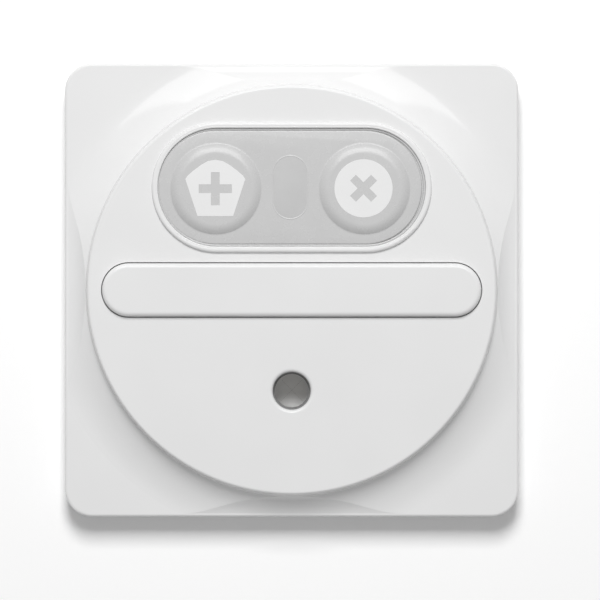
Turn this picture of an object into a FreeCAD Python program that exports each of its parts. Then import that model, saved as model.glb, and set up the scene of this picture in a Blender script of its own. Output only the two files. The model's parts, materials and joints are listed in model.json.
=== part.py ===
import FreeCAD, Part
import math
import os
import Sketcher
from FreeCAD import Rotation, Vector

# Wall-mounted nurse call point, in millimetres.
# Every piece is drawn lying down: X to the right, Y up the wall, Z out of the wall towards the user.
# Its Placement then stands it up: origin at the middle of the wall plane, front facing -Y, +Z up.

# Driving dimensions
SIZES = [
    # front plate
    ("fixing_span", 60.3),
    ("strip_overhang", 6.1),
    ("strip_end_room", 2.75),
    ("disc_margin", 4.5),
    ("plate_corner", 5.2),
    ("plate_edge", 0.5),
    ("rim_flat", 0.6),
    ("rim_depth", 6.0),
    ("front_depth", 11.0),
    ("skin", 2.2),
    ("disc_draft", 0.5),
    ("disc_edge", 0.5),
    ("flare_width", 9.0),
    ("flare_arc", 14.0),
    ("side_arc", 6.0),
    ("side_arc_out", 1.9),
    ("disc_wall", 2.4),
    ("cavity_slope", 4.0),
    ("fixing_hole_radius", 2.0),
    ("fixing_head_radius", 3.8),
    ("fixing_head_depth", 2.3),
    ("fixing_boss_radius", 5.2),
    # keypad
    ("keypad_end_room", 13.5),
    ("keypad_top_room", 8.2),
    ("keypad_bottom_room", 8.4),
    ("keypad_gap", 0.12),
    ("keypad_sink", 0.1),
    ("keypad_edge", 0.3),
    ("bead_width", 1.15),
    ("bead_height", 0.7),
    ("flange_lip", 1.0),
    ("flange_thickness", 1.2),
    ("frame_wall", 2.0),
    ("key_side_room", 2.6),
    ("key_end_room", 2.7),
    ("key_rise", 1.25),
    ("key_shoulder", 1.5),
    ("key_round", 1.6),
    ("key_depth", 3.0),
    ("key_gap", 0.15),
    ("key_travel", 0.5),
    ("key_stem_radius", 2.2),
    ("window_length", 12.0),
    ("window_width", 6.5),
    ("window_sink", 0.15),
    ("window_gap", 0.1),
    ("window_flange", 1.2),
    ("window_flange_thickness", 1.0),
    ("window_edge", 0.2),
    # cover strip
    ("strip_width", 10.2),
    ("strip_rise", 1.2),
    ("strip_seat_depth", 2.7),
    ("strip_gap", 0.2),
    ("strip_edge", 0.9),
    ("strip_wall", 1.4),
    ("tray_floor", 1.8),
    ("tray_wall", 1.5),
    ("peg_radius", 1.45),
    ("peg_clearance", 0.05),
    ("peg_length", 3.2),
    ("peg_spacing", 28.0),
    # circuit board
    ("board_margin", 0.6),
    ("board_thickness", 1.6),
    ("board_back", 1.5),
    ("board_notch_gap", 0.6),
    ("pillar_radius", 2.7),
    ("pillar_upper_room", 5.6),
    ("pillar_upper_y", 14.0),
    ("pillar_lower_x", 22.0),
    ("pillar_lower_room", 10.6),
    ("board_screw_radius", 1.0),
    ("board_screw_gap", 0.1),
    ("board_hole_gap", 0.25),
    ("board_screw_length", 5.0),
    ("board_screw_relief", 0.5),
    ("board_screw_head_radius", 2.1),
    ("board_screw_head_height", 1.3),
    ("board_screw_slot", 0.6),
    # switches and lamps
    ("switch_side", 6.0),
    ("switch_height", 3.5),
    ("plunger_rise", 0.8),
    ("plunger_radius", 1.75),
    ("plunger_gap", 0.1),
    ("plunger_depth", 1.8),
    ("lamp_length", 3.2),
    ("lamp_width", 2.8),
    ("lamp_height", 1.9),
    ("lamp_spacing", 5.6),
    # jack socket
    ("jack_centre", 19.3),
    ("jack_hole_radius", 3.6),
    ("jack_hole_edge", 0.7),
    ("plug_radius", 3.175),
    ("plug_clearance", 0.075),
    ("bush_wall", 0.7),
    ("bush_length", 9.0),
    ("bush_fit", 0.05),
    ("nose_end_gap", 0.1),
    ("shaft_room", 0.25),
    ("nose_wall", 0.8),
    ("nose_gap", 0.3),
    ("collar_wall", 1.2),
    ("collar_height", 2.0),
    ("jack_side", 13.0),
    ("jack_depth", 23.2),
    ("jack_end_wall", 1.4),
    ("spring_width", 2.8),
    ("spring_thickness", 0.4),
    ("spring_gap", 0.15),
    ("spring_bump", 0.8),
    ("spring_bend", 2.0),
    ("tip_spring_reach", 19.0),
    ("ring_spring_reach", 12.5),
    # terminal block
    ("terminal_pitch", 5.08),
    ("terminal_depth", 8.2),
    ("terminal_height", 10.0),
    ("terminal_centre", 19.0),
    ("wire_entry", 3.2),
    ("wire_level", 3.3),
    ("clamp_width", 4.0),
    ("clamp_depth", 4.8),
    ("clamp_height", 4.6),
    ("clamp_wall", 0.7),
    ("clamp_gap", 0.15),
    ("terminal_screw_radius", 1.1),
    ("terminal_screw_gap", 0.1),
    ("terminal_head_radius", 1.5),
    ("terminal_head_height", 1.8),
    ("terminal_head_sink", 0.8),
    ("terminal_screw_slot", 0.6),
    # parts soldered to the board's back: size, then place
    ("chip_side", 9.0),
    ("chip_height", 1.4),
    ("chip_x", 13.0),
    ("chip_y", 2.0),
    ("driver_length", 5.0),
    ("driver_width", 4.0),
    ("driver_height", 1.6),
    ("driver_x", 1.0),
    ("driver_y", 5.5),
    ("regulator_length", 6.5),
    ("regulator_width", 3.5),
    ("regulator_height", 1.7),
    ("regulator_x", 13.0),
    ("regulator_y", 4.0),
    ("capacitor_radius", 3.15),
    ("capacitor_height", 7.7),
    ("capacitor_foot_side", 6.6),
    ("capacitor_foot_height", 0.9),
    ("capacitor_x", 16.0),
    ("capacitor_y", 5.0),
    ("crystal_length", 5.0),
    ("crystal_width", 3.2),
    ("crystal_height", 1.2),
    ("crystal_x", 13.0),
    ("crystal_y", 6.5),
    ("resistor_length", 2.0),
    ("resistor_width", 1.25),
    ("resistor_height", 0.55),
    ("resistor_pitch", 3.0),
    ("resistor_x", 6.5),
    ("resistor_y", 0.0),
    # how far a feature is sunk into what it grows from, or a cut runs past it
    ("weld", 0.5),
]

# Repeats, and the bead's rounding as a share of its width
TERMINAL_WAYS = 4
RESISTORS = 6
BEAD_ROUNDING = 0.46

doc = FreeCAD.newDocument("CallPoint")
sheet = doc.addObject("Spreadsheet::Sheet", "sizes")


class Size:
    """A size with its number and the sheet formula that gives it."""

    def __init__(self, value, text):
        self.value = value
        self.text = text

    def __add__(self, other):
        other = as_size(other)
        return Size(self.value + other.value, f"({self.text} + {other.text})")

    def __sub__(self, other):
        other = as_size(other)
        return Size(self.value - other.value, f"({self.text} - {other.text})")

    def __mul__(self, factor):
        factor = as_size(factor)
        return Size(self.value * factor.value, f"({self.text} * {factor.text})")

    def __truediv__(self, divisor):
        divisor = as_size(divisor)
        return Size(self.value / divisor.value, f"({self.text} / {divisor.text})")

    def __neg__(self):
        return Size(-self.value, f"(0 - {self.text})")

    def root(self):
        return Size(self.value ** 0.5, f"sqrt({self.text})")


def as_size(size):
    """Turns a plain number into a Size."""
    if isinstance(size, Size):
        return size
    return Size(float(size), repr(float(size)))


def fill_sheet():
    """Writes the driving dimensions into the sheet and returns them by name."""
    named = {}
    for row, (name, value) in enumerate(SIZES, 1):
        sheet.set(f"A{row}", name)
        sheet.set(f"B{row}", str(value))
        sheet.setAlias(f"B{row}", name)
        named[name] = Size(value, f"sizes.{name}")
    doc.recompute()
    return named


class Named:
    """Gives each driving dimension as an attribute."""

    def __init__(self, named):
        self.__dict__.update(named)


d = Named(fill_sheet())

# Levels out of the wall, and sizes that several pieces share
strip_length = d.fixing_span + d.strip_overhang * 2
disc_radius = strip_length / 2 + d.strip_end_room
plate_side = (disc_radius + d.disc_margin) * 2
cavity_radius = disc_radius - d.disc_wall
board_radius = cavity_radius - d.board_margin
keypad_length = (disc_radius - d.keypad_end_room) * 2
keypad_width = disc_radius - d.keypad_top_room - d.keypad_bottom_room
keypad_centre = d.keypad_bottom_room + keypad_width / 2
key_radius = keypad_width / 2 - d.key_side_room
half_keys = keypad_length / 2 - key_radius - d.key_end_room
foot_radius = disc_radius + d.disc_draft
flare_end = disc_radius + d.flare_width
flare_reach = flare_end - foot_radius
disc_foot = d.rim_depth + d.flare_arc - (d.flare_arc * d.flare_arc - flare_reach * flare_reach).root()
face = d.front_depth
inner_face = face - d.skin
mat_front = face - d.keypad_sink
mat_back = inner_face - d.flange_thickness
opening_length = keypad_length + d.keypad_gap * 2
opening_width = keypad_width + d.keypad_gap * 2
flange_length = opening_length + d.flange_lip * 2
flange_width = opening_width + d.flange_lip * 2
board_front = d.board_back + d.board_thickness
switch_top = board_front + d.switch_height
key_bottom = mat_front - d.key_depth
plunger_top = switch_top + d.plunger_rise
window_back = mat_back - d.window_flange_thickness
window_front = mat_front - d.window_sink
tray_bottom = face - d.strip_seat_depth - d.tray_floor
seat_floor = face - d.strip_seat_depth
bore_radius = d.plug_radius + d.plug_clearance
bush_radius = bore_radius + d.bush_wall
nose_radius = bush_radius + d.nose_wall
half_fixing = d.fixing_span / 2
pillar_hole_radius = d.board_screw_radius + d.board_screw_gap
pillar_hole_depth = d.board_screw_length - d.board_thickness + d.board_screw_relief
nose_front = inner_face - d.nose_end_gap
bush_back = nose_front - d.bush_length
jack_back = d.board_back - d.jack_depth
shaft_radius = bore_radius + d.shaft_room
terminal_length = d.terminal_pitch * TERMINAL_WAYS

finished = []


# Shared helpers: binding, features of a body, plain solids

def bind(item, prop, size):
    """Ties one property of an object to its formula."""
    item.setExpression(prop, as_size(size).text)


def stand_up(item, x=0, y=0, z=0):
    """Places a finished piece, given by its point on the lying plan, in the standing frame."""
    item.Placement = FreeCAD.Placement(Vector(0, 0, 0), Rotation(Vector(1, 0, 0), 90))
    bind(item, "Placement.Base.x", x)
    bind(item, "Placement.Base.y", -as_size(z))
    bind(item, "Placement.Base.z", y)


def finish(item, label, x=0, y=0, z=0):
    """Names a finished piece, stands it up and keeps it for export."""
    item.Label = label
    stand_up(item, x, y, z)
    finished.append(item)


def attach(body, item, x, y, z, role="XY_Plane"):
    """Lays a feature or sketch on one of its body's own planes, moved in that plane's frame."""
    plane = [part for part in body.Origin.OriginFeatures if part.Role == role][0]
    item.AttachmentSupport = [(plane, "")]
    item.MapMode = "FlatFace"
    bind(item, "AttachmentOffset.Base.x", x)
    bind(item, "AttachmentOffset.Base.y", y)
    bind(item, "AttachmentOffset.Base.z", z)


def new_body(name):
    """Starts a body."""
    return doc.addObject("PartDesign::Body", name)


def round_feature(body, name, radius, height, x=0, y=0, z=0, cut=False):
    """Adds or cuts a round bar along Z."""
    kind = "PartDesign::SubtractiveCylinder" if cut else "PartDesign::AdditiveCylinder"
    item = body.newObject(kind, name)
    attach(body, item, x, y, z)
    bind(item, "Radius", radius)
    bind(item, "Height", height)
    return item


def box_feature(body, name, length, width, height, x=0, y=0, z=0, cut=False):
    """Adds or cuts a block centred on x and y, from z up."""
    kind = "PartDesign::SubtractiveBox" if cut else "PartDesign::AdditiveBox"
    item = body.newObject(kind, name)
    attach(body, item, as_size(x) - as_size(length) / 2, as_size(y) - as_size(width) / 2, z)
    bind(item, "Length", length)
    bind(item, "Width", width)
    bind(item, "Height", height)
    return item


def cone_feature(body, name, lower_radius, upper_radius, height, x=0, y=0, z=0, cut=False):
    """Adds or cuts a tapered round bar along Z."""
    kind = "PartDesign::SubtractiveCone" if cut else "PartDesign::AdditiveCone"
    item = body.newObject(kind, name)
    attach(body, item, x, y, z)
    item.Refine = False
    bind(item, "Radius1", lower_radius)
    bind(item, "Radius2", upper_radius)
    bind(item, "Height", height)
    return item


def block(name, length, width, height, x, y, z):
    """Makes a plain block centred on x and y, from z up."""
    item = doc.addObject("Part::Box", name)
    bind(item, "Length", length)
    bind(item, "Width", width)
    bind(item, "Height", height)
    bind(item, "Placement.Base.x", as_size(x) - as_size(length) / 2)
    bind(item, "Placement.Base.y", as_size(y) - as_size(width) / 2)
    bind(item, "Placement.Base.z", z)
    return item


def bar(name, radius, height, x, y, z):
    """Makes a plain round bar along Z, from z up."""
    item = doc.addObject("Part::Cylinder", name)
    bind(item, "Radius", radius)
    bind(item, "Height", height)
    bind(item, "Placement.Base.x", x)
    bind(item, "Placement.Base.y", y)
    bind(item, "Placement.Base.z", z)
    return item


def fuse(name, items):
    """Joins solids into one."""
    item = doc.addObject("Part::MultiFuse", name)
    item.Shapes = items
    return item


def cut(name, base, tool):
    """Takes one solid away from another."""
    item = doc.addObject("Part::Cut", name)
    item.Base = base
    item.Tool = tool
    return item


def gather(name, items):
    """Groups like fasteners that stay separate solids."""
    item = doc.addObject("Part::Compound", name)
    item.Links = items
    return item


def solid_block(label, length, width, height, x, y, z):
    """Makes and finishes a piece that is one plain block, centred on x and y, from z up."""
    item = doc.addObject("Part::Box", label)
    bind(item, "Length", length)
    bind(item, "Width", width)
    bind(item, "Height", height)
    finish(item, label, as_size(x) - as_size(length) / 2, as_size(y) - as_size(width) / 2, z)


def new_sketch(body, name, x, y, z):
    """Starts a sketch on the body's base plane."""
    sketch = body.newObject("Sketcher::SketchObject", name)
    attach(body, sketch, x, y, z)
    return sketch


def dimension(sketch, kind, places, size):
    """Adds one dimension to a sketch and ties it to its formula."""
    size = as_size(size)
    index = sketch.addConstraint(Sketcher.Constraint(kind, *places, size.value))
    bind(sketch, f"Constraints[{index}]", size)


def obround_sketch(body, name, length, width, x=0, y=0, z=0, upright=False):
    """Draws a slot shape with full round ends, centred, along X or upright along Y."""
    sketch = new_sketch(body, name, x, y, z)
    if upright:
        sketch.AttachmentOffset = FreeCAD.Placement(Vector(0, 0, 0), Rotation(Vector(0, 0, 1), 90))
    reach = (as_size(length) - width) / 2
    radius = as_size(width) / 2
    far, half = reach.value, radius.value
    normal = Vector(0, 0, 1)
    quarter = math.pi / 2
    right_round = Part.Circle(Vector(far, 0, 0), normal, half)
    left_round = Part.Circle(Vector(-far, 0, 0), normal, half)
    right = sketch.addGeometry(Part.ArcOfCircle(right_round, -quarter, quarter))
    left = sketch.addGeometry(Part.ArcOfCircle(left_round, quarter, 3 * quarter))
    top = sketch.addGeometry(Part.LineSegment(Vector(far, half, 0), Vector(-far, half, 0)))
    bottom = sketch.addGeometry(Part.LineSegment(Vector(-far, -half, 0), Vector(far, -half, 0)))
    for first, first_end, second, second_end in (
        (right, 2, top, 1),
        (top, 2, left, 1),
        (left, 2, bottom, 1),
        (bottom, 2, right, 1),
    ):
        sketch.addConstraint(Sketcher.Constraint("Tangent", first, first_end, second, second_end))
    sketch.addConstraint(Sketcher.Constraint("Symmetric", right, 3, left, 3, -1, 1))
    sketch.addConstraint(Sketcher.Constraint("Horizontal", top))
    dimension(sketch, "Radius", (right,), radius)
    dimension(sketch, "DistanceX", (left, 3, right, 3), reach * 2)
    return sketch


def polygon_sketch(body, name, corners, shift, role):
    """Draws a closed outline through corners, each pinned by its two distances from the sketch's origin."""
    sketch = body.newObject("Sketcher::SketchObject", name)
    attach(body, sketch, 0, 0, shift, role)
    corners = [(as_size(u), as_size(v)) for u, v in corners]
    count = len(corners)
    spots = [Vector(u.value, v.value, 0) for u, v in corners]
    for index in range(count):
        sketch.addGeometry(Part.LineSegment(spots[index], spots[(index + 1) % count]))
    for index, (u, v) in enumerate(corners):
        sketch.addConstraint(Sketcher.Constraint("Coincident", index, 2, (index + 1) % count, 1))
        dimension(sketch, "DistanceX", (-1, 1, index, 1), u)
        dimension(sketch, "DistanceY", (-1, 1, index, 1), v)
    return sketch


def circles_sketch(body, name, circles, z):
    """Draws circles, each given by its centre's x and y and its radius."""
    sketch = new_sketch(body, name, 0, 0, z)
    for x, y, radius in circles:
        x, y, radius = as_size(x), as_size(y), as_size(radius)
        circle = Part.Circle(Vector(x.value, y.value, 0), Vector(0, 0, 1), radius.value)
        index = sketch.addGeometry(circle)
        dimension(sketch, "Radius", (index,), radius)
        dimension(sketch, "DistanceX", (-1, 1, index, 3), x)
        dimension(sketch, "DistanceY", (-1, 1, index, 3), y)
    return sketch


def rounded_square_sketch(body, name, half_side, corner, x=0, y=0, z=0):
    """Draws a centred square with round corners."""
    sketch = new_sketch(body, name, x, y, z)
    outer = as_size(half_side).value
    round_size = as_size(corner).value
    inner = outer - round_size
    quarter = math.pi / 2
    arcs = []
    lines = []
    for turn in range(4):
        spin = Rotation(Vector(0, 0, 1), 90 * turn)
        centre = spin.multVec(Vector(inner, inner, 0))
        circle = Part.Circle(centre, Vector(0, 0, 1), round_size)
        arcs.append(sketch.addGeometry(Part.ArcOfCircle(circle, quarter * turn, quarter * (turn + 1))))
        start = spin.multVec(Vector(inner, outer, 0))
        end = spin.multVec(Vector(-inner, outer, 0))
        lines.append(sketch.addGeometry(Part.LineSegment(start, end)))
    for turn in range(4):
        sketch.addConstraint(Sketcher.Constraint("Tangent", arcs[turn], 2, lines[turn], 1))
        sketch.addConstraint(Sketcher.Constraint("Tangent", lines[turn], 2, arcs[(turn + 1) % 4], 1))
        level = "Horizontal" if turn % 2 == 0 else "Vertical"
        sketch.addConstraint(Sketcher.Constraint(level, lines[turn]))
    for turn in (1, 2, 3):
        sketch.addConstraint(Sketcher.Constraint("Equal", arcs[0], arcs[turn]))
    sketch.addConstraint(Sketcher.Constraint("Symmetric", arcs[0], 3, arcs[2], 3, -1, 1))
    dimension(sketch, "Radius", (arcs[0],), corner)
    dimension(sketch, "DistanceX", (arcs[1], 3, arcs[0], 3), (as_size(half_side) - corner) * 2)
    dimension(sketch, "DistanceY", (arcs[3], 3, arcs[0], 3), (as_size(half_side) - corner) * 2)
    return sketch


def pad(body, name, sketch, height):
    """Raises a sketch towards +Z."""
    item = body.newObject("PartDesign::Pad", name)
    item.Profile = sketch
    item.Refine = False
    bind(item, "Length", height)
    return item


def pocket(body, name, sketch, height):
    """Cuts a sketch towards +Z and checks that it took material away."""
    doc.recompute()
    before = body.Shape.Volume
    item = body.newObject("PartDesign::Pocket", name)
    item.Profile = sketch
    item.Reversed = True
    item.Refine = False
    bind(item, "Length", height)
    doc.recompute()
    if body.Shape.Volume >= before:
        raise ValueError(f"{name} cuts nothing")
    return item


def edges_where(shape, test):
    """Names the edges of a shape that pass a test."""
    return [f"Edge{index}" for index, edge in enumerate(shape.Edges, 1) if test(edge)]


def round_edges(body, name, radius, test):
    """Rounds the edges of the body's tip that pass a test."""
    doc.recompute()
    base = body.Tip
    names = edges_where(base.Shape, test)
    if not names:
        raise ValueError(f"{name} finds no edge")
    item = body.newObject("PartDesign::Fillet", name)
    item.Base = (base, names)
    bind(item, "Radius", radius)
    doc.recompute()
    return item


def at_level(level, least=0.0, most=1e9, x=None, y=None, reach=1e9):
    """A test for edges that lie at one level, with a length and a place."""
    height = as_size(level).value

    def test(edge):
        box = edge.BoundBox
        if abs(box.ZMin - height) > 1e-4 or abs(box.ZMax - height) > 1e-4:
            return False
        if not least <= edge.Length <= most:
            return False
        if x is not None:
            middle = box.Center
            return abs(middle.x - as_size(x).value) <= reach and abs(middle.y - as_size(y).value) <= reach
        return True

    return test


# Front plate

def flare_sketch(body):
    """Draws what is turned away round the disc: a hollow arc that runs out into the flat corners."""
    sketch = body.newObject("Sketcher::SketchObject", "flare_outline")
    attach(body, sketch, 0, 0, 0, "XZ_Plane")
    high = disc_foot + d.weld
    spots = [
        (foot_radius, high),
        (foot_radius, disc_foot),
        (flare_end, d.rim_depth),
        (plate_side, d.rim_depth),
        (plate_side, high),
    ]
    points = [Vector(u.value, v.value, 0) for u, v in spots]
    centre = Vector(flare_end.value, (d.rim_depth + d.flare_arc).value, 0)
    to_foot = points[1] - centre
    circle = Part.Circle(centre, Vector(0, 0, 1), d.flare_arc.value)
    wall = sketch.addGeometry(Part.LineSegment(points[0], points[1]))
    arc = sketch.addGeometry(Part.ArcOfCircle(circle, math.atan2(to_foot.y, to_foot.x), -math.pi / 2))
    corner = sketch.addGeometry(Part.LineSegment(points[2], points[3]))
    side = sketch.addGeometry(Part.LineSegment(points[3], points[4]))
    top = sketch.addGeometry(Part.LineSegment(points[4], points[0]))
    for first, first_end, second, second_end in (
        (wall, 2, arc, 1),
        (arc, 2, corner, 1),
        (corner, 2, side, 1),
        (side, 2, top, 1),
        (top, 2, wall, 1),
    ):
        sketch.addConstraint(Sketcher.Constraint("Coincident", first, first_end, second, second_end))
    for line, (u, v) in ((wall, spots[0]), (corner, spots[2]), (side, spots[3]), (top, spots[4])):
        dimension(sketch, "DistanceX", (-1, 1, line, 1), u)
        dimension(sketch, "DistanceY", (-1, 1, line, 1), v)
    dimension(sketch, "DistanceX", (-1, 1, arc, 1), foot_radius)
    dimension(sketch, "DistanceX", (-1, 1, arc, 3), flare_end)
    dimension(sketch, "Radius", (arc,), d.flare_arc)
    return sketch


def side_sketch(body, name, role, side):
    """Draws what is cut away along one side: a hollow arc from the level rim up to the disc's foot."""
    sketch = body.newObject("Sketcher::SketchObject", name)
    attach(body, sketch, 0, 0, 0, role)
    rim_edge = plate_side / 2 - d.rim_flat
    out = plate_side / 2 + d.weld
    high = disc_foot + d.weld
    axis = rim_edge + d.side_arc_out
    level = d.rim_depth + (d.side_arc * d.side_arc - d.side_arc_out * d.side_arc_out).root()
    drop = level - high
    inner = axis - (d.side_arc * d.side_arc - drop * drop).root()
    spots = [
        (rim_edge * side, d.rim_depth),
        (out * side, d.rim_depth),
        (out * side, high),
        (inner * side, high),
    ]
    points = [Vector(u.value, v.value, 0) for u, v in spots]
    centre = Vector(axis.value * side, level.value, 0)
    circle = Part.Circle(centre, Vector(0, 0, 1), d.side_arc.value)
    angles = [math.atan2((point - centre).y, (point - centre).x) for point in (points[0], points[3])]
    low_end, high_end = (2, 1) if side > 0 else (1, 2)
    rim = sketch.addGeometry(Part.LineSegment(points[0], points[1]))
    edge = sketch.addGeometry(Part.LineSegment(points[1], points[2]))
    top = sketch.addGeometry(Part.LineSegment(points[2], points[3]))
    arc = sketch.addGeometry(Part.ArcOfCircle(circle, min(angles), max(angles)))
    for first, first_end, second, second_end in (
        (rim, 2, edge, 1),
        (edge, 2, top, 1),
        (top, 2, arc, high_end),
        (arc, low_end, rim, 1),
    ):
        sketch.addConstraint(Sketcher.Constraint("Coincident", first, first_end, second, second_end))
    for line, (u, v) in ((rim, spots[0]), (edge, spots[1]), (top, spots[2])):
        dimension(sketch, "DistanceX", (-1, 1, line, 1), u)
        dimension(sketch, "DistanceY", (-1, 1, line, 1), v)
    dimension(sketch, "DistanceY", (-1, 1, top, 2), high)
    dimension(sketch, "DistanceX", (-1, 1, arc, 3), axis * side)
    dimension(sketch, "Radius", (arc,), d.side_arc)
    return sketch


def hollow_sides(body):
    """Cuts the hollow slopes that bring the flare down to the level rim along the four sides."""
    for role, name in (("XZ_Plane", "across"), ("YZ_Plane", "upright")):
        for side, end in ((-1, "low"), (1, "high")):
            slope = body.newObject("PartDesign::Pocket", f"{name}_{end}_slope")
            slope.Profile = side_sketch(body, f"slope_{name}_{end}", role, side)
            slope.Midplane = True
            slope.Refine = False
            bind(slope, "Length", plate_side + d.weld * 2)
            doc.recompute()


def on_plate_outline(edge):
    """A test for the front edges of the plate's square outline."""
    if edge.BoundBox.ZMin < d.rim_depth.value - 0.01:
        return False
    middle = edge.valueAt((edge.FirstParameter + edge.LastParameter) / 2)
    corner = d.plate_corner.value
    inner = plate_side.value / 2 - corner
    across, up = abs(middle.x) - inner, abs(middle.y) - inner
    beyond = math.hypot(max(across, 0), max(up, 0)) + min(max(across, up), 0) - corner
    return abs(beyond) < 1e-3


def add_disc(body):
    """Pads the square plate, turns and slopes the flare out of it, and sets the drafted disc on top."""
    square = rounded_square_sketch(body, "plate_outline", plate_side / 2, d.plate_corner)
    pad(body, "square", square, disc_foot)
    flare = body.newObject("PartDesign::Groove", "flare")
    sketch = flare_sketch(body)
    flare.Profile = sketch
    flare.ReferenceAxis = (sketch, ["V_Axis"])
    flare.Angle = 360
    flare.Refine = False
    doc.recompute()
    hollow_sides(body)
    round_edges(body, "plate_rounding", d.plate_edge, on_plate_outline)
    disc_base = d.rim_depth + d.weld
    wall_height = face - disc_base
    spread = d.disc_draft * wall_height / (face - disc_foot)
    cone_feature(body, "disc", disc_radius + spread, disc_radius, wall_height, z=disc_base)
    round_edges(body, "disc_rounding", d.disc_edge, at_level(face))


def add_bead(body):
    """Raises the round-topped bead and cuts the keypad opening inside it."""
    bead_length = opening_length + d.bead_width * 2
    bead_across = opening_width + d.bead_width * 2
    bead = obround_sketch(body, "bead_outline", bead_length, bead_across, y=keypad_centre, z=face - d.weld)
    pad(body, "bead", bead, d.bead_height + d.weld)
    opening = obround_sketch(
        body, "opening_outline", opening_length, opening_width, y=keypad_centre, z=inner_face - d.weld
    )
    pocket(body, "opening", opening, d.skin + d.bead_height + d.weld * 2)
    round_edges(body, "bead_rounding", d.bead_width * BEAD_ROUNDING, at_level(face + d.bead_height))


def add_hollow(body):
    """Hollows the back: a shallow square under the rim and a tapered round under the disc."""
    hollow_top = d.rim_depth - d.skin
    hollow = rounded_square_sketch(
        body, "hollow_outline", plate_side / 2 - d.skin, d.plate_corner - d.skin, z=-d.weld
    )
    pocket(body, "hollow", hollow, hollow_top + d.weld)
    cone_feature(
        body, "disc_hollow", cavity_radius + d.cavity_slope, cavity_radius, inner_face - hollow_top,
        z=hollow_top, cut=True,
    )


def add_strip_seat(body):
    """Adds the tray that seats the strip, and the bosses and holes for the wall screws and the pegs."""
    seat_length = strip_length + d.strip_gap * 2
    seat_width = d.strip_width + d.strip_gap * 2
    head_floor = seat_floor - d.fixing_head_depth
    sides = (-half_fixing, half_fixing)
    tray = obround_sketch(
        body, "tray_outline", seat_length + d.tray_wall * 2, seat_width + d.tray_wall * 2, z=tray_bottom
    )
    pad(body, "tray", tray, inner_face + d.weld - tray_bottom)
    bosses = circles_sketch(body, "boss_outlines", [(x, 0, d.fixing_boss_radius) for x in sides], 0)
    pad(body, "bosses", bosses, seat_floor)
    seat = obround_sketch(body, "seat_outline", seat_length, seat_width, z=seat_floor)
    pocket(body, "seat", seat, d.strip_seat_depth + d.weld)
    heads = circles_sketch(body, "head_outlines", [(x, 0, d.fixing_head_radius) for x in sides], head_floor)
    pocket(body, "head_seats", heads, d.fixing_head_depth + d.weld)
    holes = [(x, 0, d.fixing_hole_radius) for x in sides]
    holes += [(x, 0, d.peg_radius + d.peg_clearance) for x in (-d.peg_spacing / 2, d.peg_spacing / 2)]
    hole_outlines = circles_sketch(body, "seat_hole_outlines", holes, -d.weld)
    pocket(body, "seat_holes", hole_outlines, seat_floor + d.weld * 2)


def add_pillars(body):
    """Adds the four pillars that carry the board, with their screw holes."""
    rounds = [(x, y, d.pillar_radius) for x, y in pillar_places()]
    pillars = circles_sketch(body, "pillar_outlines", rounds, board_front)
    pad(body, "pillars", pillars, inner_face + d.weld - board_front)
    drilled = [(x, y, pillar_hole_radius) for x, y in pillar_places()]
    holes = circles_sketch(body, "pillar_hole_outlines", drilled, board_front - d.weld)
    pocket(body, "pillar_holes", holes, pillar_hole_depth + d.weld)


def add_jack_hole(body):
    """Adds the collar that centres the socket's nose, and the hole for the plug."""
    bore = nose_radius + d.nose_gap
    centre = -d.jack_centre
    rings = [(0, centre, bore + d.collar_wall), (0, centre, bore)]
    collar = circles_sketch(body, "collar_outline", rings, inner_face - d.collar_height)
    pad(body, "collar", collar, d.collar_height + d.weld)
    hole = circles_sketch(body, "jack_hole_outline", [(0, centre, d.jack_hole_radius)], inner_face - d.weld)
    pocket(body, "jack_hole", hole, d.skin + d.weld * 2)
    round_edges(
        body, "jack_hole_rounding", d.jack_hole_edge, at_level(face, x=0, y=centre, reach=1.0, most=30.0)
    )


def front_plate():
    """Models the white moulding: rim, flare, disc, bead, strip seat, bosses, pillars and collar."""
    body = new_body("front_plate")
    add_disc(body)
    add_bead(body)
    add_hollow(body)
    add_strip_seat(body)
    add_pillars(body)
    add_jack_hole(body)
    finish(body, "front_plate")


def pillar_places():
    """The x and y of the four pillars that carry the board."""
    upper_x = cavity_radius - d.pillar_upper_room
    lower_y = cavity_radius - d.pillar_lower_room
    upper = [(x, d.pillar_upper_y) for x in (-upper_x, upper_x)]
    lower = [(x, -lower_y) for x in (-d.pillar_lower_x, d.pillar_lower_x)]
    return upper + lower


# Keypad

def keypad_mat():
    """Models the silicone mat: a flange, a pad in the opening, wells for the keys and the window."""
    body = new_body("keypad_mat")
    flange = obround_sketch(body, "flange_outline", flange_length, flange_width, y=keypad_centre, z=mat_back)
    pad(body, "flange", flange, d.flange_thickness)
    front = obround_sketch(
        body, "front_outline", keypad_length, keypad_width, y=keypad_centre, z=inner_face - d.weld
    )
    pad(body, "front", front, mat_front - inner_face + d.weld)
    round_edges(body, "front_rounding", d.keypad_edge, at_level(mat_front))
    wells = [(x, keypad_centre, key_radius + d.key_gap) for x in (-half_keys, half_keys)]
    depth = mat_front - mat_back + d.weld * 2
    pocket(body, "key_wells", circles_sketch(body, "well_outlines", wells, mat_back - d.weld), depth)
    window = obround_sketch(
        body, "window_outline", d.window_length + d.window_gap * 2, d.window_width + d.window_gap * 2,
        y=keypad_centre, z=mat_back - d.weld, upright=True,
    )
    pocket(body, "window_well", window, depth)
    finish(body, "keypad_mat")


def key(label, side):
    """Models one round key with its domed shoulder and the stem that presses the switch."""
    body = new_body(label)
    round_feature(body, f"{label}_cap", key_radius, mat_front - key_bottom, z=key_bottom)
    cone_feature(
        body, f"{label}_shoulder", key_radius, key_radius - d.key_shoulder, d.key_rise, z=mat_front
    )
    round_edges(body, f"{label}_rounding", d.key_round, at_level(mat_front + d.key_rise))
    round_feature(body, f"{label}_stem", d.key_stem_radius, key_bottom + d.weld - plunger_top, z=plunger_top)
    finish(body, label, x=half_keys * side, y=keypad_centre)


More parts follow.
